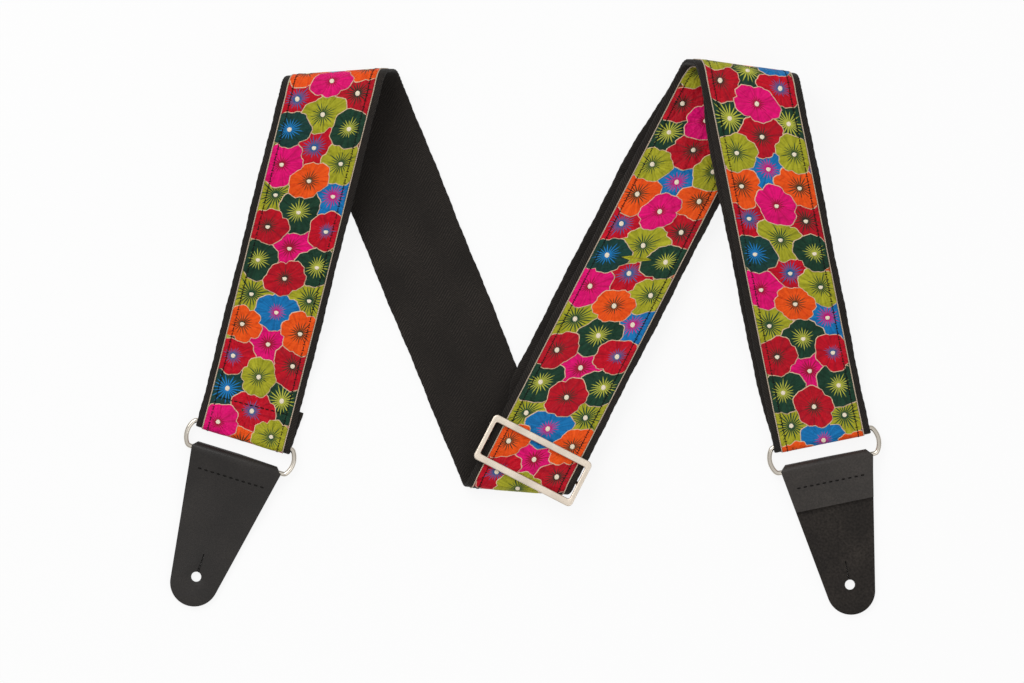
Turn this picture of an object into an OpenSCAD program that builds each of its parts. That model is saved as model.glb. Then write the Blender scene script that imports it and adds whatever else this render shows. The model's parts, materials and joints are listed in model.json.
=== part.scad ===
// Adjustable guitar strap: webbing with a patterned ribbon sewn along it, a sliding buckle,
// and a leather tab on a wire ring at each end. It lies on a table, folded in the shape of an M.

/* [Strap] */
// Width of the webbing
web_w = 49; // [38:0.5:60]
// Thickness of the webbing
web_t = 1.6; // [1.2:0.1:2.4]
// Width of the patterned ribbon
ribbon_w = 42; // [30:0.5:44]
// Thickness of the ribbon
ribbon_t = 0.6; // [0.4:0.1:1]
// Distance from the ribbon's edge to its row of stitching
stitch_inset = 3; // [2:0.5:6]
// Width of the thread
thread_w = 0.6; // [0.4:0.1:1]
// Length of the hem that is folded back at each sewn end
hem_len = 20; // [16:1:30]

/* [Lay] */
// First leg, from the left ring's bar to the first corner
leg_1_len = 193; // [170:1:240]
// Second leg, from the first corner to the bottom corner
leg_2_len = 232.5; // [200:0.5:280]
// Third leg, from the bottom corner to the second corner
leg_3_len = 245.5; // [225:0.5:290]
// Fourth leg, from the second corner to the right ring's bar
leg_4_len = 195.5; // [170:1:240]
// Lean of the first leg from the line that runs up the table
leg_1_lean = 14.3; // [8:0.1:18]
// Lean of the second leg
leg_2_lean = 22.2; // [16:0.1:28]
// Lean of the third leg
leg_3_lean = 27.2; // [22:0.1:32]
// Lean of the fourth leg
leg_4_lean = 11.6; // [6:0.1:18]
// Turn of the line that the bottom corner is folded on
bottom_turn = 4.5; // [3:0.1:6]
// Turn of the left ring's bar
ring_a_turn = 17; // [14:0.1:18]
// Radius of the bend at the two upper corners
peak_r = 8.5; // [6:0.5:12]
// Upright stretch between the two halves of those bends
peak_rise = 8; // [2:0.5:14]
// How far the lower layer of leg four shows beside the upper one
leg_4_offset = 2.2; // [0:0.1:4]
// How far the lower layer of leg three shows beside the upper one
leg_3_offset = 3.8; // [0:0.1:5]

/* [Rings] */
// Diameter of the ring's wire
wire_d = 2.4; // [1.8:0.1:3.4]
// Distance between the ring's two bars, centre to centre
ring_h = 13.1; // [12:0.1:18]
// How far each end of the ring bows out beyond its straight bars
ring_bow = 2.4; // [1.6:0.1:4]

/* [Slider] */
// Distance of the slider's centre bar from the bottom corner, at rest
slider_at = 17.4; // [17.4:0.1:20]
// Travel of the slider along the third leg
slider_travel = 120; // [80:1:125]
// Length of the slider along the strap
slider_len = 24.8; // [24:0.1:30]
// Width of the two long bars
slider_bar_w = 3.6; // [3:0.1:4.5]
// Width of the two short ends
slider_end_w = 2.5; // [2:0.1:4]
// Thickness of the frame
slider_t = 2.2; // [1.6:0.1:3]
// Corner radius of the frame
slider_corner_r = 2.4; // [1:0.1:3]
// Diameter of the centre bar
slider_rod_d = 2; // [1.6:0.1:2.6]

/* [Leather tabs] */
// Thickness of the leather
tab_t = 2; // [1.4:0.1:2.6]
// Width of the tab at the ring
tab_w = 46.5; // [36:0.5:49]
// Length of the tab from the ring's bar to the end
tab_len = 76.5; // [66:0.5:90]
// Radius of the rounded end
tab_end_r = 12; // [9:0.5:14]
// Length of the flap that is folded back round the bar
flap_len = 21; // [16:0.5:26]
// Distance of the row of stitches from the bar
tab_stitch_at = 9.4; // [9:0.1:12]
// Lean of the left tab against its fold, as cut
left_tab_lean = 2; // [0:0.1:2.5]
// Lean of the right tab against its fold, as cut
right_tab_lean = 0.8; // [0:0.1:2.5]
// Diameter of the strap button hole
hole_d = 5; // [4:0.1:8]
// Distance of the hole's centre from the tab's end
hole_from_end = 15; // [12:0.5:18]
// Length of the slit beyond the hole
slit_len = 9.5; // [6:0.5:12]
// Width of the slit
slit_w = 0.6; // [0.4:0.1:1]

/* [Hidden] */
$fn = 48;

web_color = "#2B2826";
ribbon_color = "#C8203C";
thread_color = "#171514";
metal_color = "#C9BFB3";
grain_color = "#34302D";
flesh_color = "#2B2724";

UP = [0, 0, 1];
play = 0.15;      // clearance round every bar
layer_gap = 0.3;  // clearance between two layers of strap
skin = 0.03;      // gap that keeps two sewn faces from sharing facets
strap_t = web_t + ribbon_t;
thread_t = 0.25;

wire_r = wire_d / 2;
rod_r = slider_rod_d / 2;
ring_loop_r = wire_r + play;
rod_loop_r = rod_r + play;
bar_z = strap_t + ring_loop_r;   // height of both rings' bars

// A ring's half length of straight bar, half height, and the arc that bows out at each end
side_play = 0.7;
bar_half = web_w / 2 + side_play;
half_h = ring_h / 2;
bow_r = (half_h * half_h + ring_bow * ring_bow) / (2 * ring_bow);
bow_angle = asin(half_h / bow_r);
ring_reach = bar_half + ring_bow + wire_r;

// Ways of the four legs, and of the left ring's bar, over the table
way_1 = [sin(leg_1_lean), cos(leg_1_lean), 0];
way_2 = [sin(leg_2_lean), -cos(leg_2_lean), 0];
way_3 = [sin(leg_3_lean), cos(leg_3_lean), 0];
way_4 = [sin(leg_4_lean), -cos(leg_4_lean), 0];
ring_a_bar = [cos(ring_a_turn), -sin(ring_a_turn), 0];
ring_b_turn = leg_4_lean;

// Corners of the M, where the centre lines of its legs meet
corner_2 = [0, 0, 0];
corner_1 = corner_2 - leg_2_len * way_2;
corner_3 = corner_2 + leg_3_len * way_3;
bar_a = corner_1 - leg_1_len * way_1;
bar_b = corner_3 + leg_4_len * way_4;
rod = corner_2 + slider_at * way_3;

// Heights of the strap's back at the ends of its legs
loop_run = 12;                         // length over which a ring's loop closes to its hem
leg_1_low = strap_t + 2 * ring_loop_r;
pinch_gap = 0.2;                       // clearance under a hem where its two layers meet
pinch_z = strap_t + pinch_gap;
peak_1_z = strap_t + 2 * peak_r + peak_rise;
rod_back_z = 2 * strap_t + layer_gap;
hem_top_z = rod_back_z + 2 * rod_loop_r + web_t;
leg_3_z = hem_top_z + 2 * layer_gap;
bottom_r = (leg_3_z - strap_t) / 2;
leg_3_top_z = strap_t + layer_gap;
inner_r = peak_r;
outer_r = peak_r + layer_gap / 2;
leg_4_z = leg_3_top_z + 2 * inner_r + peak_rise;
drop_rate = 2.4 / 140;                 // fall of leg three per millimetre along the slider's travel
slope = atan(drop_rate);
travel_end = slider_travel + slider_at + slider_len;
tail_end = slider_travel + hem_len + 8;   // distance from the rod at which the tail joins the webbing

function unit(v) = v / norm(v);
function ease(t) = let (x = min(1, max(0, t))) x * x * (3 - 2 * x);
function blend(a, b, t) = a + (b - a) * ease(t);
function mix(a, b, t) = a + (b - a) * t;

// A fold turns the strap over about a straight line:
// [corner, way in, way out, radius, upright stretch, 1 up or -1 down, way out of the bend]
function fold(corner, way_in, way_out, r, rise, turn, out) =
    [corner, way_in, way_out, r, rise, turn, is_undef(out) ? unit(way_in - way_out) : out];
function fold_len(f) = PI * f[3] + f[4];
function fold_start(f) = f[0] - fold_len(f) / 2 / (f[1] * f[6]) * f[1];
function fold_end(f) = f[0] - fold_len(f) / 2 / (f[2] * f[6]) * f[2];
function fold_across(f, side) =
    let (w = cross(f[2], -side * UP)) w - (w * f[6]) / (f[2] * f[6]) * f[2];

// A station is a straight line across the strap: [middle of its back, step across, normal]
function fold_stations(f, z, side, steps) =
    let (m = f[6], along = (fold_end(f) - fold_start(f)) / fold_len(f), across = fold_across(f, side))
    [for (half = [0, 1]) for (i = [(half == 1 && f[4] == 0) ? 1 : 0 : steps])
        let (a = 90 * half + 90 * i / steps, p = f[3] * a * PI / 180 + half * f[4])
        [fold_start(f) + p * along + f[3] * sin(a) * m
            + (z + f[5] * (f[3] * (1 - cos(a)) + half * f[4])) * UP,
         across,
         side * (cos(a) * UP - f[5] * sin(a) * m)]];

// The stations between two lines, with a height and a sideways shift at each distance
function leg_stations(from, across_a, to, across_b, side, at, height, shift) =
    [for (d = at) let (t = d / norm(to - from), across = mix(across_a, across_b, t))
        [mix(from, to, t) + height(d) * UP + shift(d) * across, across, side * UP]];

none = function (d) 0;
fall_run = 50;    // the lower layer of leg three comes down to the table over this length, past as much again
shift_run = 30;   // length over which a layer moves aside

// Bar loops touch their bar's axis line, so the corner lies half a loop beyond it
function bar_fold(at, way_in, way_out, r, turn) =
    let (f = fold(at, way_in, way_out, r, 0, turn)) fold(2 * at - fold_end(f), way_in, way_out, r, 0, turn);

way_hem = 2 * (ring_a_bar * way_1) * ring_a_bar - way_1;
fold_a = bar_fold(bar_a, way_hem, way_1, ring_loop_r, 1);
fold_1 = fold(corner_1, way_1, way_2, peak_r, peak_rise, -1);
fold_2 = fold(corner_2, way_2, way_3, bottom_r, 0, 1, [-sin(bottom_turn), -cos(bottom_turn), 0]);
fold_3 = fold(corner_3, way_3, way_4, inner_r, peak_rise, 1);
fold_b = bar_fold(bar_b, way_4, -way_4, ring_loop_r, 1);
fold_4 = fold(corner_3, -way_4, -way_3, outer_r, peak_rise, -1);
fold_s = bar_fold(rod, -way_3, way_3, rod_loop_r, 1);

run_1 = norm(fold_start(fold_1) - bar_a);
run_3 = norm(fold_start(fold_3) - fold_end(fold_2));
run_4 = norm(bar_b - fold_end(fold_3));
run_5 = norm(fold_start(fold_4) - bar_b);
run_6 = norm(rod - fold_end(fold_4));

// Height of each leg's back over the table, at a distance from the leg's lower end
function leg_1_height(d) = d < hem_len + 2
    ? blend(leg_1_low, pinch_z, d / loop_run)
    : blend(pinch_z, peak_1_z, (d - hem_len - 2) / (run_1 - hem_len - 2));
function leg_3_line(d) = leg_3_z - drop_rate * d;
function leg_3_height(d) = d < travel_end
    ? leg_3_line(d)
    : blend(leg_3_line(d), leg_3_top_z, (d - travel_end) / (run_3 - travel_end));
function leg_4_height(d) = blend(strap_t, leg_4_z, d / run_4);
function leg_5_height(d) = leg_4_height(d) + blend(2 * ring_loop_r, layer_gap, d / (2 * loop_run));
function leg_6_height(d) = blend(rod_back_z, strap_t, d / fall_run - 1);

function leg_4_shift(d) = -leg_4_offset * ease(d / shift_run) * ease((run_4 - d) / shift_run);
function leg_6_shift(d) =
    -leg_3_offset * ease((d - hem_len) / loop_run) * ease((run_6 - d) / (2 * shift_run));

square_hem = cross(way_hem, -UP);
hem_a = concat(
    [for (d = [hem_len, hem_len / 2]) [bar_a - d * way_hem + strap_t * UP, square_hem, -UP]],
    fold_stations(fold_a, strap_t, -1, 5));
leg_1 = leg_stations(bar_a, fold_across(fold_a, -1), fold_start(fold_1), fold_across(fold_1, 1), 1,
    [3, 6, 9, 12, hem_len, 36, 56, 76, 96, 116, 136, run_1 - 18], function (d) leg_1_height(d), none);
leg_3 = leg_stations(fold_end(fold_2), fold_across(fold_2, -1), fold_start(fold_3),
    fold_across(fold_3, 1), 1, [travel_end / 2, travel_end, for (i = [1:4]) mix(travel_end, run_3, i / 5)],
    function (d) leg_3_height(d), none);
leg_4 = leg_stations(fold_end(fold_3), fold_across(fold_3, 1), bar_b, fold_across(fold_b, -1), -1,
    [for (i = [1:11]) i * run_4 / 12, run_4 - 5], function (d) leg_4_height(run_4 - d),
    function (d) leg_4_shift(run_4 - d));
leg_5 = leg_stations(bar_b, fold_across(fold_b, -1), fold_start(fold_4), fold_across(fold_4, 1), 1,
    [3, 7, 11, for (i = [1:11]) i * run_5 / 12], function (d) leg_5_height(d * run_4 / run_5), none);

// The last leg ends in three lengths: main webbing, tail and the hem sewn round the slider's rod
square_3 = cross(-way_3, -UP);
function leg_6_at(d) =
    [rod + d * way_3 + leg_6_height(d) * UP + leg_6_shift(d) * square_3, square_3, -UP];
leg_6 = leg_stations(fold_end(fold_4), fold_across(fold_4, 1), rod, square_3, -1,
    [12, 24, 36, 48], function (d) leg_6_height(run_6 - d), function (d) leg_6_shift(run_6 - d));

main_stations = concat(hem_a, leg_1, fold_stations(fold_1, peak_1_z, 1, 6),
    fold_stations(fold_2, strap_t, -1, 6), leg_3,
    fold_stations(fold_3, leg_3_top_z, 1, 6), leg_4, fold_stations(fold_b, strap_t, -1, 5), leg_5,
    fold_stations(fold_4, leg_4_z + layer_gap, 1, 6), leg_6, [leg_6_at(tail_end)]);
tail_stations = [for (i = [0:12]) leg_6_at(mix(tail_end, hem_len, i / 12))];
hem_close = 9;                  // distance from the rod at which the hem's two layers meet
hem_low_z = rod_back_z + 0.1;   // back of the hem's upper layer there
hem_stations = concat(
    [[rod + hem_len * way_3 + rod_back_z * UP, square_3, -UP]],
    fold_stations(fold_s, rod_back_z, -1, 5),
    [for (d = [3, 6, hem_close, hem_len])
        [rod + d * way_3 + blend(rod_back_z + 2 * rod_loop_r, hem_low_z, d / hem_close) * UP,
         square_3, UP]]);

// The object's middle over the table, from the reach of its strap, ring and tabs
tab_turn_a = 180 - ring_a_turn;
tab_turn_b = 180 + ring_b_turn;
tab_bar_a = bar_a - ring_h * cross(ring_a_bar, -UP);
tab_bar_b = bar_b + ring_h * way_4;
function tab_way(turn) = [-sin(turn), cos(turn), 0];
end_a = tab_bar_a + (tab_len - tab_end_r) * tab_way(tab_turn_a - left_tab_lean);
end_b = tab_bar_b + (tab_len - tab_end_r) * tab_way(tab_turn_b - right_tab_lean);
function corners(stations, i) =
    [for (s = stations) for (w = [-1, 1]) for (h = [0, strap_t])
        s[0][i] + w * web_w / 2 * s[1][i] + h * s[2][i]];
ring_mid_b = bar_b + ring_h / 2 * way_4;
left = min(end_a.x - tab_end_r, min(corners(main_stations, 0)));
right = max(ring_mid_b.x + ring_reach * cos(ring_b_turn), max(corners(main_stations, 0)));
front = min(end_b.y, end_a.y) - tab_end_r;
back = max(corners(main_stations, 1));
middle = [-(left + right) / 2, -(front + back) / 2, 0];

// A solid that follows the stations with one cross-section of [across, out] points; every face is
// split from its low side to the next station's high side, so that sewn layers bend alike
module loft(stations, section) {
    n = len(section);
    rows = len(stations);
    points = [for (s = stations) for (p = section) s[0] + p[0] * s[1] + p[1] * s[2]];
    sides = [for (r = [0:rows - 2]) for (i = [0:n - 1])
        let (j = (i + 1) % n, a = r * n + i, b = a + n, c = r * n + j, d = c + n)
        each section[i][0] < section[j][0] ? [[a, b, d], [a, d, c]] : [[a, b, c], [c, b, d]]];
    caps = [[for (i = [0:n - 1]) i], [for (i = [n - 1:-1:0]) (rows - 1) * n + i]];
    translate(middle) polyhedron(points, concat(sides, caps));
}

function flat_section(w, h0, h1) = [[-w / 2, h0], [w / 2, h0], [w / 2, h1], [-w / 2, h1]];
web_section = [[-web_w / 2, 0], [web_w / 2, 0], [web_w / 2, web_t], [ribbon_w / 2, web_t],
    [-ribbon_w / 2, web_t], [-web_w / 2, web_t]];
groove_at = ribbon_w / 2 - stitch_inset;
groove_r = thread_w / 2 + skin;
ribbon_low = web_t + skin;
groove_low = strap_t - thread_t;
ribbon_section = [
    [-ribbon_w / 2, ribbon_low], [ribbon_w / 2, ribbon_low], [ribbon_w / 2, strap_t],
    for (s = [1, -1]) each [[s * groove_at + groove_r, strap_t], [s * groove_at + groove_r, groove_low],
        [s * groove_at - groove_r, groove_low], [s * groove_at - groove_r, strap_t]],
    [-ribbon_w / 2, strap_t]];
function thread_section(side) =
    [for (p = flat_section(thread_w, groove_low + skin, strap_t)) [p[0] + side * groove_at, p[1]]];

module webbing() {
    color(web_color) loft(main_stations, web_section);
}

module webbing_tail() {
    color(web_color) loft(tail_stations, web_section);
}

module slider_hem() {
    color(web_color) loft(hem_stations, web_section);
}

module ribbon() {
    color(ribbon_color) loft(main_stations, ribbon_section);
}

module ribbon_tail() {
    color(ribbon_color) loft(tail_stations, ribbon_section);
}

module ribbon_stitching() {
    color(thread_color) for (side = [-1, 1]) loft(main_stations, thread_section(side));
}

module ribbon_tail_stitching() {
    color(thread_color) for (side = [-1, 1]) loft(tail_stations, thread_section(side));
}

// A row of stitches along X, centred, with their undersides at height zero
seam_stitch = 2.6;
module stitch_row(width, count) {
    pitch = width / count;
    for (i = [0:count - 1])
        translate([(i + 0.5) * pitch - width / 2, 0, thread_t / 2])
            cube([min(seam_stitch, 0.7 * pitch), thread_w, thread_t], center = true);
}

// Places a piece on a leg, its X across the strap and its Y along the way
module on_leg(point, lean) {
    translate(middle + point) rotate([0, 0, -lean]) children();
}

seam_inset = 5;   // from the end of the webbing to its cross seam
module ring_seam() {
    color(thread_color)
        on_leg(bar_a + (hem_len - seam_inset) * way_1 + (pinch_z + strap_t) * UP, leg_1_lean)
            stitch_row(2 * (groove_at - thread_w) - seam_stitch, 11);
}

module slider_seam() {
    color(thread_color)
        on_leg(rod + (hem_len - seam_inset) * way_3 + (hem_low_z + web_t) * UP, leg_3_lean)
            stitch_row(ribbon_w, 12);
}

// Wire ring about its middle: two straight bars along X, joined by a bowed end each side
module wire_ring() {
    for (s = [-1, 1])
        translate([0, s * half_h, 0]) rotate([0, 90, 0]) cylinder(r = wire_r, h = 2 * bar_half, center = true);
    for (turn = [0, 180]) rotate([0, 0, turn]) {
        translate([bar_half + ring_bow - bow_r, 0, 0]) rotate([0, 0, -bow_angle])
            rotate_extrude(angle = 2 * bow_angle) translate([bow_r, 0]) circle(r = wire_r);
        for (s = [-1, 1]) translate([bar_half, s * half_h, 0]) sphere(r = wire_r);
    }
}

module left_ring() {
    color(metal_color)
        translate(middle + (bar_a + tab_bar_a) / 2 + bar_z * UP) rotate([0, 0, -ring_a_turn]) wire_ring();
}

module right_ring() {
    color(metal_color)
        translate(middle + ring_mid_b + bar_z * UP) rotate([0, 0, ring_b_turn]) wire_ring();
}

// Slider about its rod, with X across the strap and Y along it; the strap's back lies at height zero
window_w = web_w + 2 * layer_gap;
slider_w = window_w + 2 * slider_end_w;
frame_low = strap_t + layer_gap;
slider_z = leg_3_line(slider_at - norm(fold_end(fold_2)));
rod_low = rod_back_z + rod_loop_r - slider_z;
post_low = rod_r + 0.2;    // how far the posts reach past the rod towards the bottom corner
post_len = 4.4;            // length of the posts along the strap
post_foot = rod_r + 0.4;   // how far they reach under the rod's middle

module rounded_plate(w, l, r, t) {
    linear_extrude(t) union() {
        square([w, l - 2 * r], center = true);
        square([w - 2 * r, l], center = true);
        for (x = [-1, 1]) for (y = [-1, 1]) translate([x * (w / 2 - r), y * (l / 2 - r)]) circle(r = r);
    }
}

module slider() {
    color(metal_color)
        on_leg(rod + slider_z * UP, leg_3_lean) rotate([-slope, 0, 0]) {
            translate([0, 0, frame_low]) difference() {
                rounded_plate(slider_w, slider_len, slider_corner_r, slider_t);
                translate([0, 0, -1])
                    rounded_plate(window_w, slider_len - 2 * slider_bar_w, 1, slider_t + 2);
            }
            for (s = [-1, 1])
                translate([s * (slider_w - slider_end_w) / 2 - slider_end_w / 2, -post_low, rod_low - post_foot])
                    cube([slider_end_w, post_len, frame_low - rod_low + post_foot + 0.5 * slider_t]);
            translate([0, 0, rod_low]) rotate([0, 90, 0])
                cylinder(r = rod_r, h = window_w + slider_end_w, center = true);
        }
}

// Leather tab about its bar: X along the bar, Y towards the button hole
loop_out = ring_loop_r + tab_t;
fold_w = tab_w - 6;
taper = acos(tab_end_r / norm([tab_w / 2, tab_len - tab_end_r])) - atan((tab_len - tab_end_r) / (tab_w / 2));
rise = 1.4;                 // flat start of the sloping layer, past the bar
nip = tab_stitch_at - 1.2;  // where the two layers meet
mitre = 0.6;                // shift of its outer corners, which keeps the sloping layer full thickness
fall = 12;                  // length over which the grain side comes down past the flap

module tab_side(grain_up) {
    low = -ring_loop_r;
    drop = flap_len + fall;
    difference() {
        union() {
            intersection() {
                circle(r = loop_out);
                translate([-2 * loop_out, -2 * loop_out]) square([2 * loop_out, 4 * loop_out]);
            }
            translate([0, -loop_out]) square([grain_up ? flap_len : tab_len, tab_t]);
            if (grain_up)
                polygon([[0, ring_loop_r], [rise, ring_loop_r], [nip, low], [flap_len, low],
                    [drop, low - tab_t], [tab_len, low - tab_t], [tab_len, low], [drop + mitre, low],
                    [flap_len + mitre, low + tab_t], [nip + mitre, low + tab_t], [rise + mitre, loop_out],
                    [0, loop_out]]);
            else
                polygon([[0, ring_loop_r], [rise, ring_loop_r], [nip, low], [flap_len, low],
                    [flap_len, low + tab_t], [nip + mitre, low + tab_t], [rise + mitre, loop_out],
                    [0, loop_out]]);
        }
        circle(r = ring_loop_r);
    }
}

module tab_outline() {
    side_x = tab_end_r * cos(taper);
    side_y = tab_len - tab_end_r + tab_end_r * sin(taper);
    union() {
        polygon([[-fold_w / 2, -loop_out], [fold_w / 2, -loop_out], [tab_w / 2, 0], [side_x, side_y],
            [-side_x, side_y], [-tab_w / 2, 0]]);
        translate([0, tab_len - tab_end_r]) circle(r = tab_end_r);
    }
}

module tab(grain_up, lean) {
    tall = 4 * loop_out;
    difference() {
        intersection() {
            rotate([90, 0, 90]) linear_extrude(1.2 * tab_w, center = true) tab_side(grain_up);
            rotate([0, 0, -lean])
                translate([0, 0, -tall / 2]) linear_extrude(tall) tab_outline();
        }
        rotate([0, 0, -lean]) {
            translate([0, tab_len - hole_from_end, -tall / 2]) cylinder(d = hole_d, h = tall);
            translate([-slit_w / 2, tab_len - hole_from_end - hole_d / 2 - slit_len, -tall / 2])
                cube([slit_w, slit_len + hole_d / 2, tall]);
        }
    }
}

module at_tab_a() {
    translate(middle + tab_bar_a + bar_z * UP) rotate([0, 0, tab_turn_a]) children();
}

module at_tab_b() {
    translate(middle + tab_bar_b + bar_z * UP) rotate([0, 0, tab_turn_b]) children();
}

module left_tab() {
    color(grain_color) at_tab_a() tab(true, left_tab_lean);
}

module right_tab() {
    color(flesh_color) at_tab_b() tab(false, right_tab_lean);
}

module tab_stitching() {
    translate([0, tab_stitch_at, tab_t - ring_loop_r]) stitch_row(tab_w - 10, 11);
}

module left_tab_stitching() {
    color(thread_color) at_tab_a() tab_stitching();
}

module right_tab_stitching() {
    color(thread_color) at_tab_b() tab_stitching();
}

webbing();
webbing_tail();
slider_hem();
ribbon();
ribbon_tail();
ribbon_stitching();
ribbon_tail_stitching();
ring_seam();
slider_seam();
left_ring();
right_ring();
slider();
left_tab();
right_tab();
left_tab_stitching();
right_tab_stitching();
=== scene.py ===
"""A guitar strap, laid on a table in an M: woven webbing with a flowered ribbon, wire rings,
leather tabs and a sliding buckle. Lengths are metres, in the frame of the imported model."""
import json
import math
import random

import bmesh
import bpy
import numpy as np
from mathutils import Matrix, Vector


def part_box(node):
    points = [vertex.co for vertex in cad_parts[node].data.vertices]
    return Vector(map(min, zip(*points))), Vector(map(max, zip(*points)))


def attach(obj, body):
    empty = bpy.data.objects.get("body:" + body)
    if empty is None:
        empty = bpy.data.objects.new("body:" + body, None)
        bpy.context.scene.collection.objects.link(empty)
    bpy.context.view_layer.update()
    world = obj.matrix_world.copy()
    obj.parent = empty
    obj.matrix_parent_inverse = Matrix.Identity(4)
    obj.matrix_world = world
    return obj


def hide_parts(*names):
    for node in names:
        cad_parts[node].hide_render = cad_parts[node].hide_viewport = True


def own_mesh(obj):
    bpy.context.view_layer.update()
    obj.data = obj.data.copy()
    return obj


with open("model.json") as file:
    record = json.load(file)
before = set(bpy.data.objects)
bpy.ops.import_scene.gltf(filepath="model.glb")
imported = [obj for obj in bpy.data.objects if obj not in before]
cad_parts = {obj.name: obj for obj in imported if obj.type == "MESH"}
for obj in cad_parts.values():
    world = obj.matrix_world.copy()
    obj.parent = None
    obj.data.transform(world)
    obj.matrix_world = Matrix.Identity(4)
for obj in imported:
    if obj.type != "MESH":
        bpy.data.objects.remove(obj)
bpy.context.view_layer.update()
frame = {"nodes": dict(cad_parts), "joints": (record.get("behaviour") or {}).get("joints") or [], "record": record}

# ---- The lay of the strap
# One length of webbing runs from the left ring over four legs to the right ring, turns back round
# it, and ends in a hem on the buckle's centre bar. A station is a line across it: the middle of
# its back, the step across, and the way out to its ribbon face.
mm = 0.001
web_w, web_t = 49 * mm, 1.6 * mm
ribbon_w, ribbon_t = 42 * mm, 0.6 * mm
strap_t = web_t + ribbon_t
hem_len, hem_start = 20 * mm, 2 * mm   # a hem's layers close up from its start
layer_gap = 0.3 * mm
leg_len = {1: 193 * mm, 2: 232.5 * mm, 3: 245.5 * mm, 4: 195.5 * mm}
lean = {leg: math.radians(turn) for leg, turn in {1: 14.3, 2: 22.2, 3: 27.2, 4: 11.6}.items()}
bottom_turn = math.radians(4.5)
peak_r, peak_rise = 8.5 * mm, 8 * mm
leg_4_offset, leg_3_offset = 2.2 * mm, 3.8 * mm
loop_run, fall_run, shift_run = 12 * mm, 50 * mm, 30 * mm
slider_at, slider_len, rod_r = 17.4 * mm, 24.8 * mm, 1 * mm
play = 0.15 * mm
gathered = 8 * mm                   # length of the slack when the buckle is at its top
STEP = 2.2 * mm                     # distance between stations, one pick of the selvedge

UP = np.array([0.0, 0.0, 1.0])
joints = {joint["name"]: joint for joint in frame["joints"]}
hinge_at = {name: np.array(joints[name]["pos_m"]) for name in joints if "pos_m" in joints[name]}
slider_travel = joints["buckle_slide"]["range_m"][1]


def unit(v):
    return v / np.linalg.norm(v)


def ease(t):
    """From 0 to 1, level at both ends."""
    t = min(1.0, max(0.0, t))
    return t * t * (3 - 2 * t)


def between(a, b, t):
    return a + (b - a) * ease(t)


def way(turn, up):
    """A heading on the table, up the lay (1) or down it (-1), turned by an angle."""
    return np.array([math.sin(turn), up * math.cos(turn), 0.0])


def flat(point):
    return np.array([point[0], point[1], 0.0])


class Fold:
    """A bend that turns the strap over about a straight line, with an upright stretch in it."""

    def __init__(self, corner, way_in, way_out, r, rise, turn, out=None):
        self.way_out, self.r, self.rise, self.turn = way_out, r, rise, turn
        self.out = unit(way_in - way_out) if out is None else out
        self.length = math.pi * r + rise
        self.start = corner - self.length / 2 / (way_in @ self.out) * way_in
        self.end = corner - self.length / 2 / (way_out @ self.out) * way_out

    def across(self, side):
        """The step across the strap, skewed to run along the line of the fold."""
        w = np.cross(self.way_out, -side * UP)
        return w - (w @ self.out) / (self.way_out @ self.out) * self.way_out

    def stations(self, z, side, steps=14):
        """Two quarter turns, with the upright stretch between them."""
        along = (self.end - self.start) / self.length
        rows = []
        for half in (0, 1):
            for i in range(1 if half and not self.rise else 0, steps + 1):
                a = math.radians(90 * half + 90 * i / steps)
                done = self.r * a + half * self.rise
                rise = self.turn * (self.r * (1 - math.cos(a)) + half * self.rise)
                rows.append((self.start + done * along + self.r * math.sin(a) * self.out
                             + (z + rise) * UP, self.across(side),
                             side * (math.cos(a) * UP - self.turn * math.sin(a) * self.out)))
        return rows


def bar_fold(at, way_in, way_out, r):
    """A round bend that ends over the bar it goes round."""
    trial = Fold(at, way_in, way_out, r, 0, 1)
    return Fold(2 * at - trial.end, way_in, way_out, r, 0, 1)


def leg_stations(start, across_a, end, across_b, side, height, shift=lambda d: 0.0):
    """The stations between two bends, by height and sideways shift along the way."""
    run = np.linalg.norm(end - start)
    count = max(2, round(run / STEP))
    rows = []
    for i in range(1, count):
        t = i / count
        across = across_a + (across_b - across_a) * t
        rows.append((start + (end - start) * t + height(t * run) * UP + shift(t * run) * across,
                     across, side * UP))
    return rows


way_1, way_2, way_3, way_4 = way(lean[1], 1), way(lean[2], -1), way(lean[3], 1), way(lean[4], -1)
bar_way = {"left": -np.array(joints["left_ring_hinge"]["axis"]),
           "right": -np.array(joints["right_ring_hinge"]["axis"])}
bar_a, bar_b = flat(hinge_at["left_ring_hinge"]), flat(hinge_at["right_ring_hinge"])
bar_z = hinge_at["left_ring_hinge"][2]
ring_loop_r = bar_z - strap_t
wire_r = ring_loop_r - play
rod_loop_r = rod_r + play
corner_1 = bar_a + leg_len[1] * way_1
corner_2 = corner_1 + leg_len[2] * way_2
corner_3 = corner_2 + leg_len[3] * way_3
rod = corner_2 + slider_at * way_3

leg_1_low = strap_t + 2 * ring_loop_r
pinch_z = strap_t + 0.2 * mm
peak_1_z = strap_t + 2 * peak_r + peak_rise
rod_back_z = 2 * strap_t + layer_gap
leg_3_z = rod_back_z + 2 * rod_loop_r + web_t + 2 * layer_gap
leg_3_top_z = strap_t + layer_gap
leg_4_z = leg_3_top_z + 2 * peak_r + peak_rise
drop_rate = 2.4 / 140               # leg three comes down by 2.4 mm in 140 mm
travel_end = slider_travel + slider_at + slider_len
tail_end = slider_travel + hem_len + gathered

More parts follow.
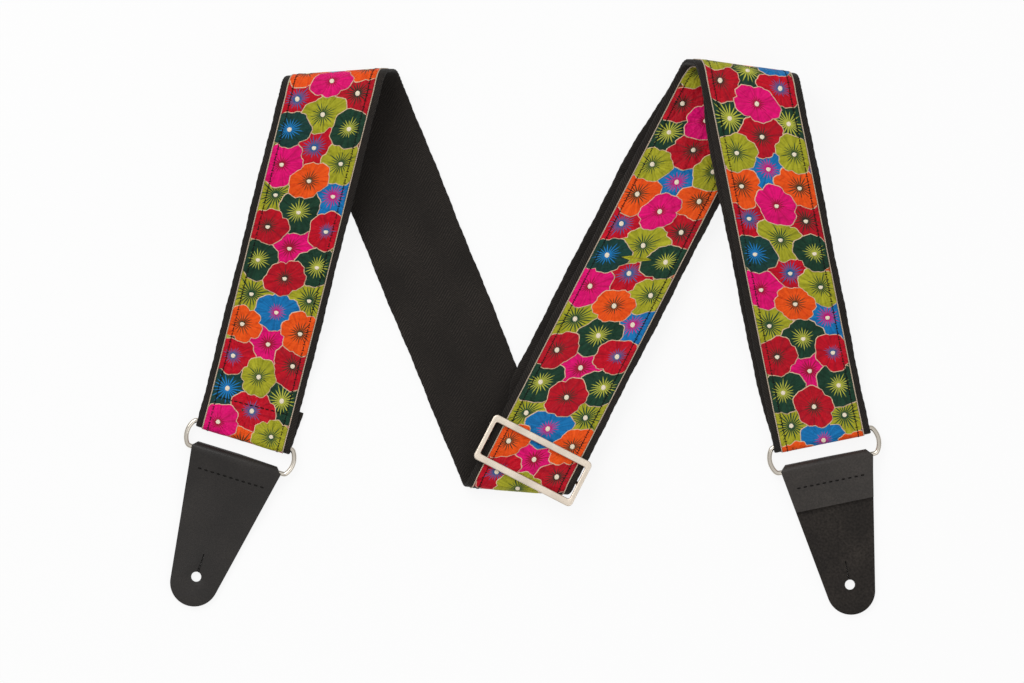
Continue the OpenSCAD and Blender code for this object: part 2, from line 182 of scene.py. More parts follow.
way_hem = 2 * (bar_way["left"] @ way_1) * bar_way["left"] - way_1
fold_a = bar_fold(bar_a, way_hem, way_1, ring_loop_r)
fold_1 = Fold(corner_1, way_1, way_2, peak_r, peak_rise, -1)
fold_2 = Fold(corner_2, way_2, way_3, (leg_3_z - strap_t) / 2, 0, 1, way(-bottom_turn, -1))
fold_3 = Fold(corner_3, way_3, way_4, peak_r, peak_rise, 1)
fold_b = bar_fold(bar_b, way_4, -way_4, ring_loop_r)
fold_4 = Fold(corner_3, -way_4, -way_3, peak_r + layer_gap / 2, peak_rise, -1)
fold_s = bar_fold(rod, -way_3, way_3, rod_loop_r)
run_1 = np.linalg.norm(fold_1.start - bar_a)
run_3 = np.linalg.norm(fold_3.start - fold_2.end)
run_4 = np.linalg.norm(bar_b - fold_3.end)
run_5 = np.linalg.norm(fold_4.start - bar_b)
run_6 = np.linalg.norm(rod - fold_4.end)


def leg_1_height(d):
    if d < hem_len + hem_start:
        return between(leg_1_low, pinch_z, d / loop_run)
    return between(pinch_z, peak_1_z, (d - hem_len - hem_start) / (run_1 - hem_len - hem_start))


def leg_3_height(d):
    line = leg_3_z - drop_rate * d
    return line if d < travel_end else between(line, leg_3_top_z, (d - travel_end) / (run_3 - travel_end))


def leg_4_height(d):
    return between(strap_t, leg_4_z, d / run_4)


def leg_5_height(d):
    d = d * run_4 / run_5
    return leg_4_height(d) + between(2 * ring_loop_r, layer_gap, d / (2 * loop_run))


def leg_6_height(d):
    return between(rod_back_z, strap_t, d / fall_run - 1)


def leg_4_shift(d):
    return -leg_4_offset * ease(d / shift_run) * ease((run_4 - d) / shift_run)


def leg_6_shift(d):
    return -leg_3_offset * ease((d - hem_len) / loop_run) * ease((run_6 - d) / (2 * shift_run))


square_hem, square_3 = np.cross(way_hem, -UP), np.cross(-way_3, -UP)


def leg_6_at(d):
    """A station of the returning layer under leg three, by its distance from the buckle's bar."""
    return rod + d * way_3 + leg_6_height(d) * UP + leg_6_shift(d) * square_3, square_3, -UP


def steps(a, b):
    """Distances from one to another, both counted, a station's step apart."""
    count = max(1, round(abs(b - a) / STEP))
    return [a + (b - a) * i / count for i in range(count + 1)]


hem_close, hem_low_start, hem_low_z = 9 * mm, 1 * mm, rod_back_z + 0.1 * mm
main_stations = [
    *[(bar_a - d * way_hem + strap_t * UP, square_hem, -UP) for d in steps(hem_len, hem_start)],
    *fold_a.stations(strap_t, -1),
    *leg_stations(bar_a, fold_a.across(-1), fold_1.start, fold_1.across(1), 1, leg_1_height),
    *fold_1.stations(peak_1_z, 1),
    *leg_stations(fold_1.end, fold_1.across(1), fold_2.start, fold_2.across(-1), -1, lambda d: strap_t),
    *fold_2.stations(strap_t, -1),
    *leg_stations(fold_2.end, fold_2.across(-1), fold_3.start, fold_3.across(1), 1, leg_3_height),
    *fold_3.stations(leg_3_top_z, 1),
    *leg_stations(fold_3.end, fold_3.across(1), bar_b, fold_b.across(-1), -1,
                  lambda d: leg_4_height(run_4 - d), lambda d: leg_4_shift(run_4 - d)),
    *fold_b.stations(strap_t, -1),
    *leg_stations(bar_b, fold_b.across(-1), fold_4.start, fold_4.across(1), 1, leg_5_height),
    *fold_4.stations(leg_4_z + layer_gap, 1),
    *[leg_6_at(d) for d in steps(run_6 - STEP, tail_end)],
]
tail_stations = [leg_6_at(d) for d in steps(tail_end, hem_len)]
hem_stations = [
    *[(rod + d * way_3 + rod_back_z * UP, square_3, -UP) for d in steps(hem_len, hem_start)],
    *fold_s.stations(rod_back_z, -1, 8),
    *[(rod + d * way_3 + between(rod_back_z + 2 * rod_loop_r, hem_low_z, d / hem_close) * UP,
       square_3, UP) for d in steps(hem_low_start, hem_len)],
]


class Stretch:
    """A stretch of strap, measured along its ribbon face."""

    def __init__(self, stations, start=0.0):
        self.middle, self.across, self.out = (np.array([s[i] for s in stations]) for i in range(3))
        face = self.middle + strap_t * self.out
        self.u = start + np.concatenate([[0], np.cumsum(np.linalg.norm(np.diff(face, axis=0), axis=1))])

    def at(self, u, v, h):
        """Points at distances along, across and out from the strap's back."""
        u, v, h = (np.atleast_1d(np.asarray(x, float)) for x in np.broadcast_arrays(u, v, h))
        i = np.clip(np.searchsorted(self.u, u) - 1, 0, len(self.u) - 2)
        t = ((u - self.u[i]) / (self.u[i + 1] - self.u[i]))[:, None]
        near, far = (self.middle[k] + v[:, None] * self.across[k] + h[:, None] * self.out[k]
                     for k in (i, i + 1))
        return near + (far - near) * t

    @property
    def length(self):
        return self.u[-1] - self.u[0]


main = Stretch(main_stations)
tail = Stretch(tail_stations, main.u[-1])
hem = Stretch(hem_stations, tail.u[-1])


# ---- The webbing
# Two-inch strap webbing, woven from black polyester in a fine herringbone with a rolled selvedge,
# folded round each ring and sewn down in a short hem. It carries everything else.
def linear(colour):
    parts = [int(colour[i:i + 2], 16) / 255 for i in (1, 3, 5)]
    return tuple(c / 12.92 if c <= 0.04045 else ((c + 0.055) / 1.055) ** 2.4 for c in parts) + (1.0,)


def add(tree, kind, *inputs, out=0, named=None, **settings):
    """Adds a node, sets it, joins its inputs in order or by name, and gives its output."""
    made = tree.nodes.new(kind)
    for key, value in settings.items():
        setattr(made, key, value)
    for key, value in [*enumerate(inputs), *(named or {}).items()]:
        if isinstance(value, bpy.types.NodeSocket):
            tree.links.new(value, made.inputs[key])
        elif value is not None:
            made.inputs[key].default_value = value
    return made.outputs[out] if out is not None else made


def new_material(name):
    made = bpy.data.materials.new(name)
    made.use_nodes = True
    made.node_tree.nodes.clear()
    return made, made.node_tree


def finish_material(made, shader):
    add(made.node_tree, "ShaderNodeOutputMaterial", shader, out=None)
    return made


def webbing_material():
    """Polyester webbing: matt black threads in a herringbone, with a painted highlight on their crowns and painted
    shade in broad patches.
    """
    made, tree = new_material("woven_polyester_black")
    rib, pick, stripe = 1.3 * mm, 1.5 * mm, 6.5 * mm      # a rib of three threads, drawn as one
    per_broad_shade, per_fibre = 0.038 / mm, 0.9 / mm            # painted shade in broad patches 26 mm across, and fibre ends, drawn coarser so that they show
    cloth = add(tree, "ShaderNodeUVMap", uv_map="cloth")
    apart = add(tree, "ShaderNodeSeparateXYZ", cloth, out=None)
    fold_x = add(tree, "ShaderNodeMath", apart.outputs[0], stripe, operation="PINGPONG")
    x = add(tree, "ShaderNodeMath", fold_x, 1 / rib, operation="MULTIPLY")
    y = add(tree, "ShaderNodeMath", apart.outputs[1], 1 / pick, operation="MULTIPLY")
    slant = add(tree, "ShaderNodeMath", x, y, operation="ADD")
    crown = add(tree, "ShaderNodeMath", slant, 0.5, operation="PINGPONG")
    fine = add(tree, "ShaderNodeMath", apart.outputs[1], 0.35 * mm, operation="PINGPONG")
    fine = add(tree, "ShaderNodeMath", fine, 0.5 / mm, operation="MULTIPLY")
    height = add(tree, "ShaderNodeMath", crown, fine, operation="ADD")
    place = add(tree, "ShaderNodeTexCoord", out="Object")
    # painted shade in broad patches, standing in for the shade of the cloth's folds
    broad_shade = add(tree, "ShaderNodeTexNoise", named={"Vector": place, "Scale": per_broad_shade, "Detail": 4.0})
    fuzz = add(tree, "ShaderNodeTexNoise", named={"Vector": place, "Scale": per_fibre, "Detail": 2.0})
    # the crowns are painted lighter as a painted highlight, and dimmed where the broad painted shade falls
    light = add(tree, "ShaderNodeMath", crown, broad_shade, operation="MULTIPLY")
    light = add(tree, "ShaderNodeMath", light, fuzz, 0.0, operation="MULTIPLY_ADD")
    light = add(tree, "ShaderNodeMapRange", light, 0.0, 0.35, 0.0, 1.0)
    colour = add(tree, "ShaderNodeMixRGB", light, linear("#110E0C"), linear("#463F39"))
    bump = add(tree, "ShaderNodeBump", named={"Strength": 0.5, "Distance": 0.3 * mm, "Height": height})
    return finish_material(made, add(tree, "ShaderNodeBsdfPrincipled", named={
        "Base Color": colour, "Roughness": 0.82, "Sheen Weight": 0.06, "Specular IOR Level": 0.2,
        "Normal": bump}))


def make_piece(name, points, faces, materials, body, uvs=None, floats=None, material_of=None):
    """A mesh with its place in its points, riding on a body of the frame."""
    mesh = bpy.data.meshes.new(name)
    mesh.from_pydata([tuple(p) for p in points], [], faces)
    mesh.update()
    for each in materials:
        mesh.materials.append(each)
    if material_of is not None:
        mesh.polygons.foreach_set("material_index", material_of)
    mesh.polygons.foreach_set("use_smooth", [True] * len(mesh.polygons))
    corner = np.empty(len(mesh.loops), int)
    mesh.loops.foreach_get("vertex_index", corner)
    for key, values in (uvs or {}).items():
        mesh.uv_layers.new(name=key).data.foreach_set("uv", np.asarray(values)[corner].ravel())
    for key, values in (floats or {}).items():
        mesh.attributes.new(key, "FLOAT", "POINT").data.foreach_set("value", values)
    made = bpy.data.objects.new(name, mesh)
    bpy.context.scene.collection.objects.link(made)
    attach(made, body)
    return made


def loft(name, stretch, section, materials, body, widen=None, material_of=None):
    """A closed strip that follows a stretch of strap with one cross-section of (across, out)."""
    rows, n = len(stretch.u), len(section)
    v, h = np.array(section).T
    reach = np.ones(rows) if widen is None else widen(stretch.u)
    points = (stretch.middle[:, None] + (v[None, :] * reach[:, None])[..., None] * stretch.across[:, None]
              + h[None, :, None] * stretch.out[:, None]).reshape(-1, 3)
    faces = [(r * n + i, (r + 1) * n + i, (r + 1) * n + (i + 1) % n, r * n + (i + 1) % n)
             for r in range(rows - 1) for i in range(n)]
    kinds = [0 if material_of is None else material_of[i] for r in range(rows - 1) for i in range(n)]
    faces += [tuple(range(n)), tuple((rows - 1) * n + i for i in reversed(range(n)))]
    uv = np.stack([np.tile(v, rows), np.repeat(stretch.u, n)], axis=1)
    return make_piece(name, points, faces, materials, body, {"cloth": uv}, None, kinds + [0, 0])


edge_r = web_t / 2
face_v = np.linspace(edge_r - web_w / 2, web_w / 2 - edge_r, 13)
rolls = np.linspace(0, math.pi, 7)[1:-1]
web_section = (
    [(v, 0.0) for v in face_v]
    + [(web_w / 2 - edge_r + edge_r * math.sin(a), edge_r - edge_r * math.cos(a)) for a in rolls]
    + [(-v, web_t) for v in face_v]
    + [(edge_r - web_w / 2 - edge_r * math.sin(a), edge_r + edge_r * math.cos(a)) for a in rolls])
selvedge_loop, selvedge_inset = 0.09 * mm, 0.3 * mm
selvedge_waves = ((0.16 * mm, 11 * mm, 0), (0.1 * mm, 2.9 * mm, 1))  # height, run, start


def selvedge(u):
    """Share of full width: the picks loop out one by one, and the hand of the cloth wanders."""
    loops = selvedge_loop * np.where(np.arange(len(u)) % 2, 1, -1)
    wander = sum(high * np.sin(u / run + start) for high, run, start in selvedge_waves)
    return 1 + (loops + wander - selvedge_inset) / (web_w / 2)


black_web = webbing_material()
webbing = loft("webbing_cloth", main, web_section, [black_web], "strap", selvedge)
webbing_tail = loft("webbing_tail_cloth", tail, web_section, [black_web], "strap", selvedge)
slider_hem = loft("slider_hem_cloth", hem, web_section, [black_web], "buckle", selvedge)
for made, node in ((webbing, "webbing"), (webbing_tail, "webbing_tail"), (slider_hem, "slider_hem")):
    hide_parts(node)

# ---- The ribbon
# A woven jacquard ribbon sewn along the webbing's face. Its ground is cream and shows as a fine
# line at both edges and as the outline round every flower.
ribbon_low = web_t + 0.03 * mm
ground_z = strap_t - 0.36 * mm
selvedge_w = 0.5 * mm
flower_edge = ribbon_w / 2 - selvedge_w


def ribbon_ground_material():
    """Cream polyester weft of the ribbon's ground: dull, with a fine cross rib."""
    made, tree = new_material("jacquard_ground_cream")
    cloth = add(tree, "ShaderNodeUVMap", uv_map="cloth")
    apart = add(tree, "ShaderNodeSeparateXYZ", cloth, out=None)
    rib = add(tree, "ShaderNodeMath", apart.outputs[1], 0.45 * mm, operation="PINGPONG")
    rib = add(tree, "ShaderNodeMath", rib, 2.2 / mm, operation="MULTIPLY")
    colour = add(tree, "ShaderNodeMixRGB", rib, linear("#A08D78"), linear("#D6C3AC"))
    bump = add(tree, "ShaderNodeBump", named={"Strength": 0.5, "Distance": 0.15 * mm, "Height": rib})
    return finish_material(made, add(tree, "ShaderNodeBsdfPrincipled", named={
        "Base Color": colour, "Roughness": 0.75, "Sheen Weight": 0.1, "Normal": bump}))


cream_ground = ribbon_ground_material()
rim_z = strap_t - 0.04 * mm
half_section = [(ribbon_w / 2, ribbon_low), (ribbon_w / 2, rim_z - 0.1 * mm),
                (ribbon_w / 2 - 0.2 * mm, rim_z), (flower_edge + 0.15 * mm, rim_z),
                (flower_edge, ground_z)]
ribbon_section = half_section + [(-v, h) for v, h in reversed(half_section)]
ribbon = loft("ribbon_cloth", main, ribbon_section, [cream_ground], "strap")
ribbon_tail = loft("ribbon_tail_cloth", tail, ribbon_section, [cream_ground], "strap")
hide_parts("ribbon")
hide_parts("ribbon_tail")

# ---- The flowers
# Raised jacquard figures packed edge to edge over the ribbon, in eight kinds. Each is a scalloped
# patch with a burst of stamens, and neighbours overlap in three levels like scales, over the buds.
row_pitch = 17.2 * mm
column_at = 14.2 * mm
flower_r, bud_r = 10.6 * mm, 7.5 * mm
level_z = 0.065 * mm
place_slip, side_slip = 1.2 * mm, 0.9 * mm
# petals, the colour of their painted shade, stamens, number of petals, number of stamens, reach of the stamens
flower_kinds = {
    "pink": ("#EE0078", "#B80052", "#98102E", 5, 18, 0.26),
    "orange": ("#F45A12", "#D43E06", "#35351D", 6, 20, 0.38),
    "red": ("#CE0422", "#98001C", "#1A5C94", 5, 22, 0.3),
    "crimson": ("#C4061F", "#8E0A1E", "#2E2C22", 5, 20, 0.32),
    "blue": ("#0F7ABC", "#0C5890", "#C01478", 6, 20, 0.26),
    "lime": ("#B3B02A", "#7F8014", "#1B432C", 6, 22, 0.44),
    "green": ("#173F2C", "#0C271A", "#B3B542", 4, 20, 0.36),
    "teal": ("#124038", "#0B2A28", "#1478BC", 5, 20, 0.4),
}
column_colours = (("crimson", "lime", "pink", "teal", "red", "orange", "lime", "green"),
                  ("green", "orange", "red", "lime", "pink", "blue", "crimson", "pink"),
                  ("red", "blue", "lime", "green", "crimson", "orange", "lime", "green"))
bud_colours = (("orange", "green", "lime", "pink", "green", "blue", "orange", "lime"),
               ("lime", "pink", "orange", "pink", "green", "red", "blue", "lime"))
level_size = (1.0, 1.32, 1.08, 0.97)  # of buds, then of lower flowers that run on under the upper ones


petal_cut, frill_cut, lopsided_by = 0.19, 0.028, 0.085


def scallop(angle, petals, frill, lopsided):
    """Radius of a flower's outline, as a share of its size."""
    lobe = np.abs(np.cos(petals * angle / 2))
    return (1 - petal_cut + petal_cut * lobe ** 0.5 + frill_cut * np.cos(frill * angle)
            + lopsided_by * np.cos(2 * angle + lopsided))


def flower_material(kind):
    """Satin polyester figure: bright threads with painted shade in their creases, streaks and broad folds, bound
    by the cream outline.
    """
    petal, shade, stamen, petals, stamens, reach = flower_kinds[kind]
    made, tree = new_material(f"jacquard_flower_{kind}")
    local = add(tree, "ShaderNodeUVMap", uv_map="flower")
    apart = add(tree, "ShaderNodeSeparateXYZ", local, out=None)
    radius = add(tree, "ShaderNodeVectorMath", local, operation="LENGTH", out="Value")
    angle = add(tree, "ShaderNodeMath", apart.outputs[1], apart.outputs[0], operation="ARCTAN2")
    # streaks of painted shade that run out along the petals
    heading = add(tree, "ShaderNodeVectorMath", local, operation="NORMALIZE")
    heading = add(tree, "ShaderNodeVectorMath", heading, named={"Scale": 7.0}, operation="SCALE")
    streak = add(tree, "ShaderNodeTexNoise", named={"Vector": heading, "Scale": 1.0, "Detail": 3.0})
    streak = add(tree, "ShaderNodeMapRange", streak, 0.42, 0.68, 0.0, 0.75)
    colour = add(tree, "ShaderNodeMixRGB", streak, linear(petal), linear(shade))
    # the cloth's broad light and shade, some 6 mm across
    place = add(tree, "ShaderNodeTexCoord", out="Object")
    cloud = add(tree, "ShaderNodeTexNoise", named={"Vector": place, "Scale": 0.16 / mm, "Detail": 3.0})
    cloud = add(tree, "ShaderNodeMapRange", cloud, 0.35, 0.65, 0.35, 0.0)
    colour = add(tree, "ShaderNodeMixRGB", cloud, colour, linear(shade))
    # painted shade in the creases between petals
    lobe = add(tree, "ShaderNodeMath", angle, petals / 2, operation="MULTIPLY")
    lobe = add(tree, "ShaderNodeMath", lobe, operation="COSINE")
    lobe = add(tree, "ShaderNodeMath", lobe, operation="ABSOLUTE")
    crease_shade = add(tree, "ShaderNodeMapRange", lobe, 0.0, 0.22, 0.8, 0.0)
    outer = add(tree, "ShaderNodeMapRange", radius, 0.3, 0.7, 0.0, 1.0)
    crease_shade = add(tree, "ShaderNodeMath", crease_shade, outer, operation="MULTIPLY")
    colour = add(tree, "ShaderNodeMixRGB", crease_shade, colour, linear(shade))
    # stamens: a burst of spikes of uneven length round the middle
    turns = add(tree, "ShaderNodeMath", angle, stamens / math.tau, operation="MULTIPLY")
    spike = add(tree, "ShaderNodeMath", turns, 0.5, operation="PINGPONG")
    spike = add(tree, "ShaderNodeMapRange", spike, 0.0, 0.42, 1.0, 0.0)
    uneven = add(tree, "ShaderNodeTexNoise", named={"Vector": heading, "Scale": 0.9, "Detail": 0.0})
    uneven = add(tree, "ShaderNodeMapRange", uneven, 0.3, 0.7, 0.55 * reach, 1.35 * reach)
    spike = add(tree, "ShaderNodeMath", spike, uneven, operation="MULTIPLY")
    spike = add(tree, "ShaderNodeMath", spike, 0.17, operation="ADD")
    burst = add(tree, "ShaderNodeMath", spike, radius, operation="SUBTRACT")
    burst = add(tree, "ShaderNodeMath", burst, 14.0, operation="MULTIPLY", use_clamp=True)
    colour = add(tree, "ShaderNodeMixRGB", burst, colour, linear(stamen))
    # cream outline
    rim = add(tree, "ShaderNodeAttribute", attribute_name="rim", out="Fac")
    outline = add(tree, "ShaderNodeMapRange", rim, 0.948, 0.965, 0.0, 1.0)
    colour = add(tree, "ShaderNodeMixRGB", outline, colour, linear("#E2C2A2"))
    # satin floats, a rib wider than the real 0.2 mm threads so that it shows
    cloth = add(tree, "ShaderNodeUVMap", uv_map="cloth")
    along = add(tree, "ShaderNodeSeparateXYZ", cloth, out=None)
    rib = add(tree, "ShaderNodeMath", along.outputs[0], along.outputs[1], operation="ADD")
    rib = add(tree, "ShaderNodeMath", rib, 0.3 * mm, operation="PINGPONG")
    rib = add(tree, "ShaderNodeMath", rib, 1.2 / mm, operation="MULTIPLY")
    height = add(tree, "ShaderNodeMath", rib, streak, operation="SUBTRACT")
    height = add(tree, "ShaderNodeMath", height, crease_shade, operation="SUBTRACT")
    # the cloth puckers between its stitches, about every 4 mm
    pucker = add(tree, "ShaderNodeTexNoise", named={"Vector": place, "Scale": 0.26 / mm, "Detail": 2.0})
    bump = add(tree, "ShaderNodeBump", named={"Strength": 1.0, "Distance": 2.2 * mm, "Height": pucker})
    bump = add(tree, "ShaderNodeBump", named={
        "Strength": 0.35, "Distance": 0.2 * mm, "Height": height, "Normal": bump})
    return finish_material(made, add(tree, "ShaderNodeBsdfPrincipled", named={
        "Base Color": colour, "Roughness": 0.58, "Specular IOR Level": 0.16, "Normal": bump}))


flower_materials = {kind: flower_material(kind) for kind in flower_kinds}
kind_index = {kind: i for i, kind in enumerate(flower_kinds)}


def flower_list(length):
    """Every flower that a strap of this length could hold, and the buds between them at its edges."""
    draw = random.Random(4)
    found = []

    def grow(u, v, r, kind, level):
        found.append({
            "u": u + draw.uniform(-place_slip, place_slip), "v": v + draw.uniform(-side_slip, side_slip),
            "r": r * level_size[level] * draw.uniform(0.95, 1.06), "turn": draw.uniform(0, math.tau),
            "frill": draw.choice((11, 13, 14)), "lopsided": draw.uniform(0, math.tau),
            "kind": kind, "level": level})

    for row in range(-1, int(length / row_pitch) + 3):
        for column, colours in enumerate(column_colours):
            middle = column == 1
            grow((row + 0.5 * middle) * row_pitch, (column - 1) * column_at, flower_r,
                 colours[row % len(colours)], 1 + (row + 2 * middle) % 3)
            if not middle:
                buds = bud_colours[column // 2]
                grow((row + 0.5) * row_pitch, (column - 1) * ribbon_w / 2, bud_r,
                     buds[row % len(buds)], 0)
    return found


def curvature(stretch, low, high):
    """The tightest bend of the ribbon's face between two distances along it."""
    face = stretch.middle + strap_t * stretch.out
    ahead = np.diff(face, axis=0)
    step = np.linalg.norm(ahead, axis=1)
    ahead /= step[:, None]
    turned = np.arccos(np.clip((ahead[1:] * ahead[:-1]).sum(axis=1), -1, 1)) * 2 / (step[1:] + step[:-1])
    near = (stretch.u[1:-1] > low) & (stretch.u[1:-1] < high)
    return max(turned[near], default=0.0)


sag = 0.025 * mm                    # most that a facet may cut into the bend it follows
facet_least, facet_most = 0.85 * mm, 5 * mm
spokes_bud, spokes_flower, spokes_most = 28, 42, 72
reach_most, reach_steps = 1.6, 160  # how far, and how finely, an outline is looked for
rim_from, root_most = 0.92, 0.9     # where the rim begins, and how near to it a flower may grow from
root_in = 0.5 * mm                  # a flower grows from at least this far inside the cloth
flower_up, flower_down = 0.04 * mm, 0.1 * mm
crown_up, crown_in = 0.05 * mm, 0.4  # height of the petals' middles, and its share at the root
knot_up = 0.02 * mm


def flower_patches(name, stretch, low, high):
    """The flowers between two distances, cut off there and at the ribbon's edges."""
    points, faces, local, cloth, rim, kinds, knots = [], [], [], [], [], [], []
    march = np.linspace(0, reach_most, reach_steps + 1)[1:]
    for f in flowers:
        petals = flower_kinds[f["kind"]][3]
        root = np.array([np.clip(f["u"], low + root_in, high - root_in),
                         np.clip(f["v"], root_in - flower_edge, flower_edge - root_in)])
        centre = np.array([f["u"], f["v"]])

        def share(p):
            x, y = np.moveaxis(p - centre, -1, 0)
            angle = np.arctan2(y, x) - f["turn"]
            return np.hypot(x, y) / f["r"] / scallop(angle, petals, f["frill"], f["lopsided"])

        if share(root) > root_most:
            continue
        bend = curvature(stretch, f["u"] - f["r"], f["u"] + f["r"])
        facet = float(np.clip(math.sqrt(8 * sag / (bend + 1e-6)), facet_least, facet_most))
        rings = math.ceil(rim_from * f["r"] / facet)
        spokes = int(np.clip(math.tau * f["r"] / facet,
                             spokes_bud if f["level"] == 0 else spokes_flower, spokes_most))
        turns = np.linspace(0, math.tau, spokes, endpoint=False)
        rays = np.stack([np.cos(turns), np.sin(turns)], axis=1)
        p = root + march[None, :, None] * f["r"] * rays[:, None, :]
        inside = (share(p) < 1) & (p[..., 0] > low) & (p[..., 0] < high) & (np.abs(p[..., 1]) < flower_edge)
        edge = march[np.maximum(np.argmin(inside, axis=1) - 1, 0)][:, None] * f["r"] * rays
        out = [*(rim_from * (k + 1) / rings for k in range(rings)), 1.0]
        over_and_back = out + out[::-1]
        flat_points = np.concatenate([root[None], *(root + k * edge for k in over_and_back), root[None]])
        angle = np.arctan2(*(flat_points - centre).T[::-1]) - f["turn"]
        crown = crown_up * np.abs(np.cos(petals * angle / 2)) ** 0.5
        lift = np.repeat([crown_in, *(1.0 for k in out[:-1]), 0.0], [1] + [spokes] * len(out))
        top = ground_z + flower_up + level_z * f["level"]
        below = np.full(len(flat_points) - len(lift), ground_z - flower_down)
        h = np.concatenate([top + crown[:len(lift)] * lift, below])
        first, last = len(points), len(points) + len(flat_points) - 1
        points.extend(stretch.at(flat_points[:, 0], flat_points[:, 1], h))
        x, y = (flat_points - centre).T / f["r"]
        c, s = math.cos(f["turn"]), math.sin(f["turn"])
        local.extend(np.stack([x * c + y * s, y * c - x * s], axis=1))
        cloth.extend(flat_points[:, ::-1])
        rim.extend(share(flat_points))
        for i in range(spokes):
            j = (i + 1) % spokes
            faces.append((first, first + 1 + i, first + 1 + j))
            for a in range(first + 1, last - spokes, spokes):
                if a + spokes < last:
                    faces.append((a + i, a + spokes + i, a + spokes + j, a + j))
            faces.append((last, last - spokes + j, last - spokes + i))
        kinds.extend([kind_index[f["kind"]]] * (len(faces) - len(kinds)))
        if f["level"] and low < f["u"] < high and abs(f["v"]) < flower_edge:
            knots.append((f["u"], f["v"], top + knot_up))
    made = make_piece(name, points, faces, list(flower_materials.values()), "strap",
                      {"flower": local, "cloth": cloth}, {"rim": rim}, kinds)
    return made, knots


end_gap = 0.1 * mm
flowers = flower_list(main.length + tail.length)
half_way = main.u[-1] / 2
flowers_left, knots_left = flower_patches("ribbon_flowers_left", main, end_gap, half_way)
flowers_right, knots_right = flower_patches("ribbon_flowers_right", main, half_way, main.u[-1] - end_gap)
tail_flowers, tail_knots = flower_patches("ribbon_flowers_tail", tail, tail.u[0] + end_gap,
                                          tail.u[-1] - end_gap)


# ---- Stitches and knots
# Bonded polyester thread, lock-stitched: two rows along the ribbon, one across each hem and one
# across each leather tab. A cream knot of the same shape sits in the middle of every flower.
def sewing_tree():
    """Instances one rounded stitch on every point, laid along one way and facing out another."""
    tree = bpy.data.node_groups.new("sewing", "GeometryNodeTree")
    sockets = {key: tree.interface.new_socket(key, in_out="INPUT", socket_type=f"NodeSocket{kind}")
               for key, kind in (("Geometry", "Geometry"), ("Length", "Float"), ("Width", "Float"),
                                 ("Height", "Float"), ("Thread", "Material"))}
    tree.interface.new_socket("Geometry", in_out="OUTPUT", socket_type="NodeSocketGeometry")
    given = add(tree, "NodeGroupInput", out=None)
    along = add(tree, "GeometryNodeInputNamedAttribute", "along", data_type="FLOAT_VECTOR")
    facing = add(tree, "GeometryNodeInputNamedAttribute", "facing", data_type="FLOAT_VECTOR")
    turn = add(tree, "FunctionNodeAlignRotationToVector", named={"Vector": facing}, axis="Z")
    turn = add(tree, "FunctionNodeAlignRotationToVector", named={"Rotation": turn, "Vector": along},
               axis="X", pivot_axis="Z")
    bead = add(tree, "GeometryNodeMeshUVSphere", named={"Segments": 8, "Rings": 5, "Radius": 0.5})
    size = add(tree, "ShaderNodeCombineXYZ", given.outputs["Length"], given.outputs["Width"],
               given.outputs["Height"])
    placed = add(tree, "GeometryNodeInstanceOnPoints", named={
        "Points": given.outputs["Geometry"], "Instance": bead, "Rotation": turn, "Scale": size})
    solid = add(tree, "GeometryNodeRealizeInstances", placed)
    smooth = add(tree, "GeometryNodeSetShadeSmooth", solid)
    sewn = add(tree, "GeometryNodeSetMaterial", named={
        "Geometry": smooth, "Material": given.outputs["Thread"]})
    add(tree, "NodeGroupOutput", sewn, out=None)
    return tree, {key: socket.identifier for key, socket in sockets.items()}


sewing, sewing_inputs = sewing_tree()


def sew(name, places, along, facing, size, thread, body, node=None):
    """Stitches at places, made a plain mesh."""
    mesh = bpy.data.meshes.new(name + "_places")
    mesh.from_pydata([tuple(p) for p in places], [], [])
    for key, values in (("along", along), ("facing", facing)):
        mesh.attributes.new(key, "FLOAT_VECTOR", "POINT").data.foreach_set(
            "vector", np.asarray(values, float).ravel())
    row = bpy.data.objects.new(name + "_row", mesh)
    bpy.context.scene.collection.objects.link(row)
    modifier = row.modifiers.new("sewing", "NODES")
    modifier.node_group = sewing
    for key, value in zip(("Length", "Width", "Height"), size):
        modifier[sewing_inputs[key]] = value
    modifier[sewing_inputs["Thread"]] = thread
    bpy.context.view_layer.update()
    solid = bpy.data.meshes.new_from_object(row.evaluated_get(bpy.context.evaluated_depsgraph_get()))
    bpy.data.objects.remove(row)
    solid.name = name
    made = bpy.data.objects.new(name, solid)
    bpy.context.scene.collection.objects.link(made)
    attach(made, body)
    if node:
        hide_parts(node)
    return made


def thread_material(name, dark, pale, twist):
    """Bonded thread: two plies twisted together, drawn about a millimetre long so that they show."""
    made, tree = new_material(name)
    place = add(tree, "ShaderNodeTexCoord", out="Object")
    ply = add(tree, "ShaderNodeTexWave", named={"Vector": place, "Scale": twist, "Distortion": 0.6},
              wave_type="BANDS", bands_direction="DIAGONAL", out="Fac")
    colour = add(tree, "ShaderNodeMixRGB", ply, linear(dark), linear(pale))
    bump = add(tree, "ShaderNodeBump", named={"Strength": 0.4, "Distance": 0.08 * mm, "Height": ply})
    return finish_material(made, add(tree, "ShaderNodeBsdfPrincipled", named={
        "Base Color": colour, "Roughness": 0.7, "Specular IOR Level": 0.15, "Normal": bump}))


black_thread = thread_material("bonded_thread_black", "#060505", "#171412", 0.7 / mm)
cream_thread = thread_material("knot_thread_cream", "#E2D2B8", "#F3E8D2", 0.5 / mm)
stitch_pitch = 2.9 * mm
row_at = ribbon_w / 2 - 3 * mm
row_margin = 1.5 * mm
# length, width and height of each kind of stitch, and how deep the ribbon's lie below its face
long_stitch, bite_stitch = (2.5 * mm, 0.5 * mm, 0.34 * mm), (1.5 * mm, 0.6 * mm, 0.44 * mm)
hem_stitch, tab_stitch = (2.3 * mm, 0.6 * mm, 0.4 * mm), (2 * mm, 0.8 * mm, 0.5 * mm)
knot_size = (2.9 * mm, 2.5 * mm, 0.26 * mm)
long_sunk, bite_sunk = 0.11 * mm, 0.16 * mm
either_way = 0.5 * mm               # how far each way the run of the cloth is measured


